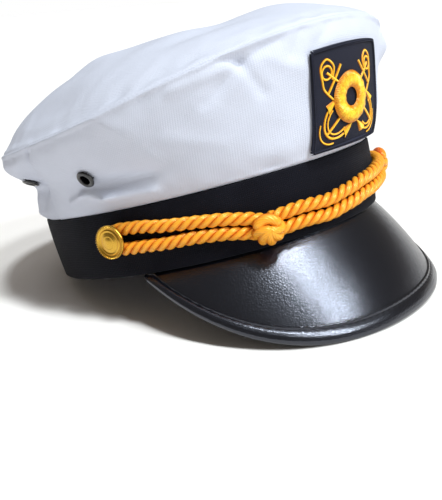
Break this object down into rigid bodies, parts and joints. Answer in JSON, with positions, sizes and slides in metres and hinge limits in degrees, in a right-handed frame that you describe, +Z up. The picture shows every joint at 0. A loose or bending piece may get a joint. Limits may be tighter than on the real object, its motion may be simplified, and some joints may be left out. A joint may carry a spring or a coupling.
{
  "type": "yacht captain's cap",
  "caption": "Peaked yacht captain's cap with a puffed white crown, black band and peak, gold twisted cord with knots and buttons, and an embroidered anchor badge.",
  "frame": {"origin": "on the surface that the cap rests on, under the middle of its box", "axes": "+Z up, -Y towards the peak, +X towards the wearer's left; the cap is tipped back onto its peak and the back of its band"},
  "size_m": [0.2114, 0.25, 0.1509],
  "materials": {
    "crown_cloth": "white polyester poplin",
    "band_cloth": "black woven cloth",
    "peak_vinyl": "black grained vinyl, glossy",
    "gold_cord": "shiny rayon cord, three plies twisted",
    "gilt_brass": "stamped and gilt",
    "black_enamel": "black enamel",
    "badge_cloth": "dark navy twill with an overlocked edge",
    "gold_thread": "shiny rayon embroidery thread"
  },
  "bodies": {
    "root": {"band": "band_cloth", "crown_front": "crown_cloth", "crown_back": "crown_cloth", "crown_top": "crown_cloth", "peak": "peak_vinyl", "peak_binding": "peak_vinyl", "cord_front_upper": "gold_cord", "cord_front_lower": "gold_cord", "cord_loop_right": "gold_cord", "cord_loop_left": "gold_cord", "knot_right": "gold_cord", "knot_left": "gold_cord", "button_right": "gilt_brass", "button_left": "gilt_brass", "eyelet_right_front": "black_enamel", "eyelet_right_back": "black_enamel", "eyelet_left_front": "black_enamel", "eyelet_left_back": "black_enamel", "badge": "badge_cloth", "badge_lifebuoy": "gold_thread", "badge_anchors": "gold_thread"}
  },
  "joints": []
}
